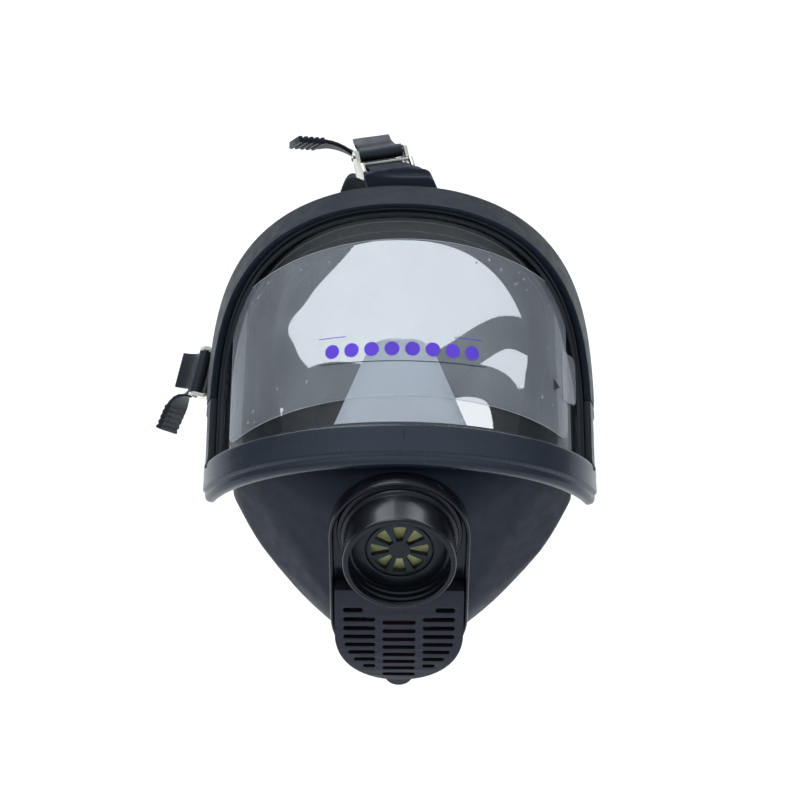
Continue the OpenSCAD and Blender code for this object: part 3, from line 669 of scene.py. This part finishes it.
def make_film():
    """Protective film with rounded corners, trapped bubbles and a pull tab at its right edge."""
    left, right = -90.0, 87.0
    rows, columns = 26, 110
    def edge(t, z_of):
        s = left + (right - left) * t
        end = min(t, 1 - t) * (right - left)
        rounding = 6.0 * (1 - sqrt(max(0.0, 1 - (1 - min(end / 6.0, 1)) ** 2)))
        return s, z_of(s) + (rounding if z_of is film_low else -rounding)
    front, back = [], []
    for i in range(rows + 1):
        for j in range(columns + 1):
            t = (1 - cos(pi * j / columns)) / 2
            (s, z0), (_, z1) = edge(t, film_low), edge(t, film_top)
            for side, r in ((front, FILM_R), (back, VISOR_R + 0.1)):
                side.append(on_visor(s, r, z0 + (z1 - z0) * i / rows))
    parts = [sheet(front, back, rows, columns)]
    for i in range(70):
        s = random.uniform(-84, 84)
        z = film_top(s) - random.uniform(1.5, 10) if i % 3 else film_low(s) + random.uniform(1, 16)
        if 30 < abs(s) < half_width(z) - 6 and film_low(s) + 1 < z < film_top(s) - 1:
            parts.append(dome(s, z, random.uniform(0.25, 0.85), random.uniform(0.12, 0.3)))
    for i in range(45):
        s, z = random.choice((-1, 1)) * random.uniform(62, 86), random.uniform(16, 70)
        if abs(s) < half_width(z) - 6:
            parts.append(dome(s, z, random.uniform(0.2, 0.5), random.uniform(0.08, 0.2)))
    tab = fillet([(83, 24), (93.5, 24.5), (95.5, 27), (95.5, 44), (93.5, 46.5), (83, 47)], 1.6, 4)
    rings = [[on_visor(s, VISOR_R + h + 0.05 * max(0, s - 88), z) for s, z in tab] for h in (0.42, 0.72)]
    parts.append(loft(rings))
    piece("visor_film_sheet", merge(*parts), FILM, ["visor_film"], sharp=60)
    lines = []
    bead = ((-0.1, 0), (-0.1, 0.1), (0.1, 0.1), (0.1, 0))
    for z_of in (film_top, film_low):
        path = [left + 7 + (right - left - 14) * i / 90 for i in range(91)]
        lines.append(loft([[on_visor(s, FILM_R + h, z_of(s) + v) for v, h in bead] for s in path]))
    piece("visor_film_rims", merge(*lines), RIDGE)


def printed(outline):
    """A thin patch of ink on the film."""
    return loft([[on_visor(s, FILM_R + h, z) for s, z in outline] for h in (0.005, 0.05)])


def bar(s0, s1, z, tall):
    """A printed bar that follows the cylinder."""
    n = 24
    steps = [s0 + (s1 - s0) * i / n for i in range(n + 1)]
    low, high = z - tall / 2, z + tall / 2
    return merge(*(printed([(a, high), (b, high), (b, low), (a, low)]) for a, b in zip(steps, steps[1:])))


DISC_Z = 34.0


def make_print():
    """Plain marks in place of the printed lettering: a row of discs between rules."""
    mid, pitch, size = 0.6, 8.5, 3.1
    discs = []
    for i in range(8):
        s, z = mid + pitch * (i - 3.5), DISC_Z
        discs.append(printed([(s + x, z + y) for x, y in circle(size, 40)]))
    thin = [bar(mid - 36, mid - 24, DISC_Z + 6.2, 0.3), bar(mid + 22, mid + 34, DISC_Z + 6.2, 0.3)]
    piece("film_print_discs", merge(*discs, *thin), VIOLET)
    rule = bar(mid - 35, mid + 36, DISC_Z - 5.4, 0.35)
    pointer = printed([(75.5, 26.6), (80.5, 29.2), (75.5, 32.0)])
    piece("film_print_rules", merge(rule, pointer), INK)


# ---- valve housing ----


def make_housing():
    """Base plate with a rim, a stepped collar, and a port with a round thread inside."""
    w = HOUSING_W
    lip = [(w - 2.0, 3.9), (w - 2.0, 7.4), (w - 1.2, 8.0), (w - 0.3, 7.5), (w - 0.1, 5.6),
           (w, 4.8), (w, 0.0), (w - 3, 0.0), (w - 3, 3.9)]
    ring = fillet(lip, [0.3, 0.5, 0.6, 0.5, 0.3, 0.3, 0.5, 0, 0], 3)
    rim = loft([[Vector((x, y, z)) for x, y in stadium(d)] for d, z in ring], loop=True)
    base = plate((stadium(w - 2.5), circle(15, 48), circle(14.5, 48, EXH_Y)), 0.0, 4.0)
    bore, r, h = PORT_BORE, PORT_R, PORT_H
    floor, seat = h - PORT_DEPTH, GRID_Z + 1.8
    outside = [(17, 4), (26, 4.2), (26, 6.9), (25.2, 7.6), (24.3, 7.6), (24.1, 9.4), (23.4, 10.1),
               (r, 10.4), (r, h - 0.9), (r - 0.35, h - 0.25), (r - 1, h)]
    soft = [0, 0.3, 0.7, 0.5, 0.3, 0.5, 0.4, 0.3, 0.8, 0.4, 0.6]
    outer = fillet(outside + [(19, h - 1), (17, 6)], soft + [0, 0], 4)[:-2]
    inside = [(19.5, floor), (19.5, seat), (17, seat), (17, GRID_Z), (15, GRID_Z), (15, -8),
              (20.9, -8), (21.45, -7.4), (21.45, 0.5), (17, 0.5)]
    columns, turns = 144, []
    for i in range(columns):
        t = i / columns
        thread = []
        z = h
        while z >= floor - 0.001:
            fade = min(1, (h - z) / 1.6) * min(1, (z - floor) / 1.0 + 0.1)
            wave = 0.5 - 0.5 * cos(2 * pi * ((h - z) / THREAD_PITCH + t))
            thread.append((bore + 0.85 * fade * wave + 0.45 * (1 - min(1, (h - z) / 0.9)), z))
            z -= 0.3
        line = [(p[0], p[1]) for p in outer] + thread + inside
        turns.append([Vector((d * cos(2 * pi * t), d * sin(2 * pi * t), z)) for d, z in line])
    port = loft(turns, loop=True)
    spigot = [(14.5, 0.5), (17.5, 0.5), (17.5, -5.9), (19.5, -6.1), (19.5, -7.6), (19, -8), (14.5, -8)]
    sleeve = moved(turned(fillet(spigot, [0, 0, 0.2, 0.3, 0.5, 0.4, 0.2], 3)), shift(0, EXH_Y, 0))
    parts = [moved(p, INLET_AT) for p in (rim, base, port, sleeve)]
    piece("housing_body", merge(*parts), HOUSING, ["valve_housing"], sharp=36)


def in_order(verts, faces):
    """The same solid with its vertices and faces in one fixed order, whatever order they came in."""
    order = sorted(range(len(verts)), key=lambda i: tuple(verts[i]))
    place = {old: new for new, old in enumerate(order)}
    sorted_faces = []
    for face in faces:
        ring = [place[i] for i in face]
        k = ring.index(min(ring))
        sorted_faces.append(tuple(ring[k:] + ring[:k]))
    return [verts[i] for i in order], sorted(sorted_faces)


def plate(outlines, z0, z1):
    """A flat closed plate: the first outline is its edge and the others are holes."""
    bm = bmesh.new()
    edges = []
    for outline in outlines:
        ring = [bm.verts.new((x, y, z0)) for x, y in outline]
        edges += [bm.edges.new((ring[i], ring[(i + 1) % len(ring)])) for i in range(len(ring))]
    bmesh.ops.triangle_fill(bm, edges=edges, use_beauty=True)
    lifted = bmesh.ops.extrude_face_region(bm, geom=bm.faces[:])["geom"]
    for v in lifted:
        if isinstance(v, bmesh.types.BMVert):
            v.co.z = z1
    return in_order(*taken(bm))


# ---- face blank and inner mask ----

REAR = [(0, -24, 82), (30, -20, 78), (54, -10, 60), (67, 0, 32), (67, 3, 0), (61, 1, -34),
        (48, -8, -68), (28, -18, -94), (0, -24, -102)]
CHIN = [(66, -42, -46), (56, -42, -64), (38, -44, -88), (20, -44, -105)]


def chin_swell(z):
    """How far the soft cheeks bulge past their moulded shape, from 1 at the frame to 0 at the chin."""
    return min(1.0, (z + 108) / 40)


def round_the_rear(n=5):
    half = REAR + [(-x, y, z) for x, y, z in REAR[-2:0:-1]]
    return catmull(half, n, closed=True)


def ball(center, r, step=30):
    """Points of a small sphere, enough for a hull."""
    out = []
    for lat in range(-90, 91, step):
        c = cos(radians(lat))
        for lon in range(0, 360, step * 3 // 2) if abs(lat) < 90 else (0,):
            a = radians(lon)
            out.append(center + r * Vector((c * cos(a), c * sin(a), sin(radians(lat)))))
    return out


def hull_mesh(points):
    bm = bmesh.new()
    for p in points:
        bm.verts.new(p)
    made = bmesh.ops.convex_hull(bm, input=bm.verts[:])
    bmesh.ops.delete(bm, geom=list({v for v in made["geom_interior"] if isinstance(v, bmesh.types.BMVert)}),
                     context="VERTS")
    loose = [v for v in bm.verts if not v.link_faces]
    bmesh.ops.delete(bm, geom=loose, context="VERTS")
    return taken(bm)


def blank_points(r):
    spots = []
    for s, z, ns, nz in ARCH[::4]:
        up = max(nz, 0)
        spots.append(on_visor(s + 4 * ns, VISOR_R - 9, z + 4 * nz + 9 * up * up, 8 * nz))
    spots += [on_visor(-99.6 + 199.2 * i / 36, VISOR_R - 9, -7) for i in range(37)]
    spots += round_the_rear()
    chin = catmull(CHIN, 6)
    spots += [p + Vector((6.5 * chin_swell(p.z), 0, 0)) for p in chin]
    spots += [Vector((-p.x - 4 * chin_swell(p.z), p.y, p.z)) for p in chin]
    points = [q for p in spots for q in ball(p, r)]
    for x, y in circle(23.5 + r / 2, 64):
        points += [INLET_AT @ Vector((x, y, z)) for z in (-4, -4 + r)]
    for x, y in circle(23 + r, 64, EXH_Y + 1):
        points += [INLET_AT @ Vector((x, y, z)) for z in (-4, -4 + r)]
    return points


def face_opening():
    out = []
    for i in range(96):
        a = 2 * pi * i / 96
        c, s = cos(a), sin(a)
        reach = 76 if s > 0 else 78
        out.append((63 * copysign(abs(c) ** 0.85, c), -8 + reach * copysign(abs(s) ** 0.85, s)))
    return out


def prism(outline, y0, y1):
    return loft([[Vector((x, y, z)) for x, z in outline] for y in (y0, y1)])


def window_cutter():
    d = -3.0
    points = [(-VISOR_S - d, -d), (VISOR_S + d, -d)] + [(s + d * ns, z + d * nz) for s, z, ns, nz in ARCH]
    flat = [(VISOR_R * sin(s / VISOR_R), z) for s, z in points]
    return moved(prism(flat, -146, -26), VISOR_AT)


def drum(r, z0, z1, y=0.0):
    return moved(slab(circle(r, 64, y), z0, z1), INLET_AT)


def reflex_lip():
    """The thin inner lip that folds inwards from the rear edge and seals on the face."""
    rings = []
    for p in round_the_rear(8):
        mid = Vector((0, p.y, p.z * 0.12 - 4))
        inward = (mid - p).normalized()
        a = p + inward * 1.0 + Vector((0, 3.0, 0))
        b = p + inward * 5 + Vector((0, 3.8, 0))
        c = p + inward * 9 + Vector((0, 1.0, 0))
        line = catmull([a, b, c], 5)
        thick = Vector((0, -2.0, 0))
        rings.append(line + [q + thick for q in reversed(line)])
    return loft(rings, loop=True)


def make_blank():
    """The moulded rubber facepiece: a soft shell with lugs, forehead block and inner lip."""
    shell = scratch("blank", hull_mesh(blank_points(4.0)))
    carve(shell, hull_mesh(blank_points(1.0)), window_cutter(), prism(face_opening(), -29, 60),
          drum(21.5, -20, 5), drum(17.5, -20, 5, EXH_Y))
    extras = [reflex_lip()]
    brow = fillet([(-18, 80), (-14, 95.5), (14, 95.5), (18, 80)], [0, 3, 3, 0], 4)
    extras.append(prism(brow, -43, -30))
    step = fillet([(-4, 90), (-2, 99), (12, 99), (16, 90)], [0, 2, 2, 0], 4)
    extras.append(prism(step, -40, -31))
    for name in BUCKLES:
        extras.append(lug(name))
    for part in extras:
        add = scratch("extra", part)
        shell.data = joined_mesh(shell, add)
        bpy.data.objects.remove(add)
    mesh = softened(shell, 1.0, 6)
    piece("face_blank_rubber", mesh, RUBBER, ["face_blank"], sharp=80)


def joined_mesh(a, b):
    bm = bmesh.new()
    bm.from_mesh(a.data)
    bm.from_mesh(b.data)
    mesh = bpy.data.meshes.new(a.name)
    bm.to_mesh(mesh)
    bm.free()
    return mesh


CUP = (((5, 12), -46, 11.5), ((17, -21), -52, 14), ((26, -56), -46, 15), ((14, -86), -42, 12))
CUP_BACK = -24
CHECK = Vector((39, -46, -50))


def cup_points(g):
    points = []
    for (x, z), front, r in CUP:
        for side in (-1, 1):
            for y in (front, CUP_BACK):
                points += ball(Vector((side * x, y, z)), r - g, 10)
    deep = -5.9 - (3 if g else 0)
    for x, y in circle(21 - g, 72, EXH_Y):
        points += [INLET_AT @ Vector((x, y, z)) for z in (deep, deep + 1)]
    return points


def make_nose_cup():
    """The translucent inner mask: a soft hull cut open at the back, with valve bosses and a neck."""
    cup = scratch("cup", hull_mesh(cup_points(0)))
    bosses, holes = [], []
    for side in (-1, 1):
        axis = shift(side * CHECK.x, CHECK.y, CHECK.z) @ turn(side * 90, "Y")
        bosses.append(moved(slab(circle(12, 64), -6, 2), axis))
        holes.append(moved(slab(circle(10, 64), -20, 5), axis))
    carve(cup, *bosses, drum(20.5, -5.8, -3.1, EXH_Y), how="UNION")
    back = moved(block((-60, 0, -100), (60, 60, 120), 1.0), shift(0, -33, -30) @ turn(-6, "X"))
    carve(cup, hull_mesh(cup_points(2.0)), back, *holes,
          drum(17.5, -20, 5, EXH_Y), drum(19.6, -20, -5.85, EXH_Y))
    piece("nose_cup_silicone", softened(cup, 0.8, 10), SILICONE, ["nose_cup"], sharp=80)


# ---- buckles and harness ----

BUCKLES = {  # lug bar, direction of the lug, outward normal, lug length
    "top": ((-6, -32, 98), (-0.25, 0.95, 0.15), (-0.12, -0.15, 0.97), 9),
    "temple_right": ((75, 8, 6), (-0.06, 1, 0.05), (1, 0.06, 0.12), 12),
    "temple_left": ((-83, 4, 5), (-0.42, 0.86, -0.1), (-0.85, -0.42, 0.3), 17),
    "jaw_right": ((53, 9, -57), (0.06, 0.97, -0.15), (0.86, -0.1, -0.5), 12),
    "jaw_left": ((-53, 9, -57), (-0.06, 0.97, -0.15), (-0.86, -0.1, -0.5), 12),
}
PAD = Vector((0, 62, -14))


def buckle_axes(name):
    """Matrix of a buckle's own frame: x along the lug, y across, z outward."""
    o, x, z, _ = BUCKLES[name]
    x = Vector(x).normalized()
    z = Vector(z)
    z = (z - z.dot(x) * x).normalized()
    y = z.cross(x)
    m = Matrix((x, y, z)).transposed().to_4x4()
    return Matrix.Translation(o) @ m


def lug(name):
    length = BUCKLES[name][3]
    sleeve = turned([(1.75, -9.5), (3.6, -9.5), (3.6, 9.5), (1.75, 9.5)], 32)
    sleeve = moved(sleeve, turn(90, "X"))
    tongue = block((-length, -9.5, -3), (-2.2, 9.5, 2.6), 1.2)
    foot = block((-length, -13, -3.4), (-5, 13, 2), 2.5)
    return moved(merge(sleeve, tongue, foot), buckle_axes(name))


def ribbon(stations):
    """A rubber strap: stations are (point, width direction, width); ribbed, with saw-tooth edges."""
    pitch, run, rings = 2.4, 0.0, []
    for i, (p, w, width) in enumerate(stations):
        ahead = stations[min(i + 1, len(stations) - 1)][0] - stations[max(i - 1, 0)][0]
        t = ahead.normalized()
        w = (w - w.dot(t) * t).normalized()
        m = t.cross(w)
        if i:
            run += (p - stations[i - 1][0]).length
        tooth = 0.5 - 0.5 * cos(2 * pi * run / pitch)
        half = width / 2 - 0.35 + 0.45 * tooth
        thick = STRAP_T / 2 - 0.1
        rib = 0.22 * tooth
        side = [(-half, -thick * 0.5), (-half + 0.4, -thick), (-half + 2.2, -thick), (half - 2.2, -thick),
                (half - 0.4, -thick), (half, -thick * 0.5), (half, thick * 0.5), (half - 0.4, thick),
                (half - 2.2, thick), (half - 2.9, thick - 0.2 + rib), (-half + 2.9, thick - 0.2 + rib),
                (-half + 2.2, thick), (-half + 0.4, thick), (-half, thick * 0.5)]
        rings.append([p + a * w + b * m for a, b in side])
    return loft(rings)


def stations_through(keys, step=0.6):
    """Keys (point, width direction, width) joined smoothly at about one station each step."""
    points = [Vector(k[0]) for k in keys]
    out = []
    for i in range(len(keys) - 1):
        a, b = max(i - 1, 0), min(i + 2, len(keys) - 1)
        n = max(2, int((points[i + 1] - points[i]).length / step))
        for j in range(n):
            t = j / n
            def mixed(u, v, w, x):
                return 0.5 * (2 * v + (w - u) * t + (2 * u - 5 * v + 4 * w - x) * t * t
                              + (3 * v - u - 3 * w + x) * t ** 3)
            out.append((mixed(points[a], points[i], points[i + 1], points[b]),
                        mixed(*(Vector(keys[q][1]) for q in (a, i, i + 1, b))),
                        mixed(*(keys[q][2] for q in (a, i, i + 1, b)))))
    out.append((points[-1], Vector(keys[-1][1]), keys[-1][2]))
    return out


STRAP_W = 18.0


def at(name, x, z):
    """A strap key in a buckle's frame."""
    m = buckle_axes(name)
    return m @ Vector((x, 0, z)), m.to_3x3() @ Vector((0, 1, 0)), STRAP_W


def strap(name, main, tail):
    """In along the head side of the buckle, round its bar, and out under the lever."""
    across = at(name, 0, 0)[1]
    def facing(keys):
        return [(Vector(p), Vector(w) * (-1 if Vector(w).dot(across) < 0 else 1), width)
                for p, w, width in keys]
    keys = facing(main)
    incoming = stations_through(keys + [at(name, 24, -2.9), at(name, 17, -2.8), at(name, 11, -2.8)])
    bend = []
    for i in range(13):
        a = radians(270 - 15 * i)
        bend.append(at(name, 9 + 2.8 * cos(a), 2.8 * sin(a)))
    outgoing = stations_through([at(name, 11, 2.8), at(name, 17, 2.8), at(name, 23, 2.9)]
                                + facing(tail))
    body = ribbon(incoming[:-1] + bend + outgoing[1:])
    end, before = outgoing[-1][0], outgoing[-8][0]
    w = outgoing[-1][1].normalized()
    t = (end - before).normalized()
    w = (w - w.dot(t) * t).normalized()
    m = t.cross(w)
    grip = []
    for k in range(5):
        low, high = -11 + 2.6 * k, -9.4 + 2.6 * k
        outline = fillet([(low, -8.6), (high, -8.6), (high, 8.6), (low, 8.6)], 0.6, 2)
        grip.append(loft([[end + u * t + v * w + h * m for u, v in outline] for h in (-1.5, 1.5)]))
    return merge(body, *grip)


STRAPS = {
    "top": ([(PAD + Vector((-14, 0, 4)), (0.5, 0, 0.9), 20), ((-36, 60, -12), (0.4, 0, 0.9), 18),
             ((-54, 59, 0), (0.75, 0.1, 0.6), 18), ((-62, 57, 13), (0.9, 0.3, 0.3), 18),
             ((-62, 55, 27), (0.4, 0.85, -0.1), 18), ((-52, 50, 48), (0.75, 0.2, -0.6), 18),
             ((-29, 40, 74), (0.75, 0, -0.6), 18), ((-18, 18, 96), (0.95, 0.1, -0.2), 18)],
            [((-20, -2, 107), (0.5, 0.85, 0), 18), ((-33, -12, 111), (0.25, 0.96, -0.1), 18),
             ((-48, -18, 112), (0.1, 0.99, -0.1), 18)]),
    "temple_right": ([(PAD + Vector((10, 0, 12)), (-0.4, 0, 0.9), 20),
                      (PAD + Vector((28, -2, 24)), (-0.4, 0, 0.9), 18),
                      ((52, 58, 24), (-0.3, 0, 1), 17), ((70, 48, 18), (0, 0, 1), 17)],
                     [((78, 44, -2), (-0.2, 0, 0.9), 18), ((72, 58, -10), (-0.2, 0, 0.9), 18),
                      ((62, 66, -14), (-0.2, 0, 0.9), 18)]),
    "temple_left": ([(PAD + Vector((-10, 0, 0)), (0.2, 0, 1), 20), ((-32, 61, -18), (0.2, 0, 1), 18),
                     ((-56, 58, -9), (0.4, 0.6, 0.7), 17), ((-72, 53, -1), (0.3, 0.9, 0.4), 17),
                     ((-86, 46, 0), (0, 0.5, 0.9), 17)],
                    [((-102, 31, -3), (0.4, 0.5, 0.75), 18), ((-109, 31, -12), (0.5, 0.85, 0.1), 18),
                     ((-114, 30, -23), (0.4, 0.9, 0), 18)]),
}
for SIDE, NAME in ((1, "jaw_right"), (-1, "jaw_left")):
    STRAPS[NAME] = ([(PAD + Vector((SIDE * 10, 0, 10)), (SIDE * -0.2, 0, 1), 20),
                     ((SIDE * 33, 60, 0), (0, 0.3, 0.9), 18),
                     ((SIDE * 47 + 2, 55, -4), (SIDE * 0.5, 0.3, 0.7), 18),
                     ((SIDE * 53 + 2, 50, -17), (SIDE * 0.9, 0.2, 0.3), 18),
                     ((SIDE * 54 + 1, 45, -36), (SIDE * 0.9, 0, 0.4), 17)],
                    [((SIDE * 61, 40, -67), (SIDE * 0.5, 0, 0.85), 18),
                     ((SIDE * 60, 51, -73), (SIDE * 0.5, 0, 0.8), 18),
                     ((SIDE * 55, 61, -77), (SIDE * 0.5, 0, 0.8), 18)])


def make_harness():
    parts = [strap(name, *STRAPS[name]) for name in STRAPS]
    face = shift(*(PAD + Vector((0, 1.4, 0)))) @ turn(90, "X")
    disc = [(0.01, 0), (24.2, 0), (25, 0.8), (25, 2.2), (24, 2.9), (22.6, 2.9), (22, 2.3), (0.01, 2.3)]
    soft = fillet(disc, [0, 0.4, 0.5, 0.5, 0.5, 0.4, 0.3, 0], 3)
    small = [Vector((x * 0.56, 0.3 + 0.85 * z)) for x, z in soft]
    parts.append(moved(turned(soft, 72), face))
    parts.append(moved(turned(small, 56), face @ shift(0, 12, 0)))
    for r in (6, 10, 14, 18):
        for z in (0.1, 2.4):
            ridge = [Vector((r + 0.6 * cos(a * pi / 4), z + 0.5 * sin(a * pi / 4)))
                     for a in range(8)]
            parts.append(moved(turned(ridge, 60), face))
    web = fillet([(-12, 16), (-24, 13), (-34, 8), (-46, 14), (-56, 18), (-60, 6), (-50, -4), (-42, -14),
                  (-36, -24), (-12, -22)], 4, 4)
    parts.append(moved(slab(web, 0.4, 2.4), face))
    piece("harness_straps", merge(*parts), STRAP, ["head_harness"], sharp=45)


def make_buckles():
    for name in BUCKLES:
        crisp(f"buckle_{name}_plate", f"buckle_frame_{name}", NICKEL, edge=0.45)
        crisp(f"buckle_{name}_catch", f"buckle_lever_{name}", LEVER,
              body=body_with(f"buckle_lever_{name}"), edge=0.5)
    crisp("buckle_rods", "buckle_pins", NICKEL, edge=0.25)


def body_with(node):
    bodies = frame["record"]["behaviour"]["bodies"]
    return next(body for body, nodes in bodies.items() if node in nodes)


def make_small_parts():
    rows = (("frame_screw_pair", "frame_screws", STEEL, "steel", 0.25),
            ("inlet_seal_ring", "inlet_gasket", SEAL, "seal_rubber", 0.2),
            ("inlet_grid", "inhalation_grid", BLACK, "black_plastic", 0.3),
            ("inlet_disc", "inhalation_valve", YELLOW, "valve_yellow", 0.15),
            ("housing_retainer", "housing_ring", BLACK, "black_plastic", 0.3),
            ("outlet_seat", "exhalation_seat", BLACK, "black_plastic", 0.25),
            ("outlet_disc", "exhalation_valve", RED, "valve_red", 0.15),
            ("outlet_cover", "exhalation_cover", COVER, "housing_black", 0.4),
            ("cup_seats", "nose_cup_valve_seats", BLACK, "black_plastic", 0.25),
            ("cup_disc_left", "nose_cup_valve_left", WHITE, "valve_white", 0.12),
            ("cup_disc_right", "nose_cup_valve_right", WHITE, "valve_white", 0.12))
    for name, node, material, slot, edge in rows:
        crisp(name, node, material, body_with(node), edge)


# ---- the object ----

make_seal()
make_visor()
make_film()
make_print()
make_upper_frame()
make_lower_frame()
make_columns()
make_housing()
make_blank()
make_nose_cup()
make_harness()
make_buckles()
make_small_parts()


# ---- camera, floor and light ----

def make_camera():
    pitch, roll = radians(4.0), radians(-0.376)
    forward = Vector((0, cos(pitch), -sin(pitch)))
    right = Vector((1, 0, 0))
    up = right.cross(forward)
    turned_right = right * cos(roll) - up * sin(roll)
    turned_up = right * sin(roll) + up * cos(roll)
    camera = linked("camera", bpy.data.cameras.new("camera"))
    m = Matrix((turned_right, turned_up, -forward)).transposed().to_4x4()
    camera.matrix_world = Matrix.Translation(Vector((-0.2, -757.7, 47.0)) * MM) @ m
    camera.data.sensor_width, camera.data.lens = 36.0, 72.8
    camera.data.clip_start = 0.01
    bpy.context.scene.camera = camera


def make_stage(low):
    p = Paint("stage_paper")
    tone = p.mixed(p.scaled(p.noise(60, 3), 0.3, 0.7), (0.93, 0.93, 0.93), (0.95, 0.95, 0.95))
    shader = p.add("BsdfPrincipled", {"Base Color": tone}, Roughness=0.9)
    shader.inputs["Specular IOR Level"].default_value = 0.1
    p.output(shader.outputs[0])
    front, back, rise, wide, bend = -2.2, 1.5, 1.5, 3.2, 0.9
    line = [(front, low), (back - bend, low)]
    for a in (pi / 32 * i for i in range(1, 17)):
        line.append((back - bend + bend * sin(a), low + bend * (1 - cos(a))))
    line.append((back, low + rise))
    verts = [Vector((x, y, z)) / MM for y, z in line for x in (-wide, wide)]
    faces = [(2 * i, 2 * i + 1, 2 * i + 3, 2 * i + 2) for i in range(len(line) - 1)]
    mesh = bpy.data.meshes.new("stage_floor")
    mesh.from_pydata([v * MM for v in verts], [], faces)
    mesh.shade_smooth()
    mesh.materials.append(p.material)
    linked("stage_floor", mesh)


def make_light(name, place, target, size, power):
    lamp = bpy.data.lights.new(name, "AREA")
    lamp.shape, lamp.size, lamp.size_y, lamp.energy = "RECTANGLE", size[0], size[1], power
    obj = linked(name, lamp)
    obj.location = place
    obj.rotation_euler = (Vector(target) - Vector(place)).to_track_quat("-Z", "Y").to_euler()


def make_world():
    """Dim cool surroundings with one broad, soft-edged glow high in front."""
    world = bpy.data.worlds.new("studio")
    bpy.context.scene.world = world
    world.use_nodes = True
    tree = world.node_tree
    ground = tree.nodes["Background"]
    place = tree.nodes.new("ShaderNodeTexCoord")
    toward = tree.nodes.new("ShaderNodeVectorMath")
    toward.operation = "DOT_PRODUCT"
    toward.inputs[1].default_value = (0, -0.6, 0.8)
    soft = tree.nodes.new("ShaderNodeMapRange")
    soft.interpolation_type = "SMOOTHSTEP"
    for socket, number in (("From Min", 0.1), ("From Max", 1.0), ("To Min", 0.22), ("To Max", 0.85)):
        soft.inputs[socket].default_value = number
    tree.links.new(place.outputs["Generated"], toward.inputs[0])
    tree.links.new(toward.outputs["Value"], soft.inputs["Value"])
    tree.links.new(soft.outputs["Result"], ground.inputs["Strength"])
    ground.inputs["Color"].default_value = (0.86, 0.94, 1.0, 1)


make_camera()
make_stage(CAD_BOX[0][2] - 0.18)
make_light("top_softbox", (-0.3, -0.2, 1.1), (0, -0.05, 0), (0.9, 0.7), 4.5)
make_light("back_wash", (0, 0.4, 1.0), (0, 1.3, -0.1), (2.4, 0.5), 12.5)
make_world()
bpy.context.scene.view_settings.view_transform = "Standard"
bpy.context.scene.view_settings.look = "None"
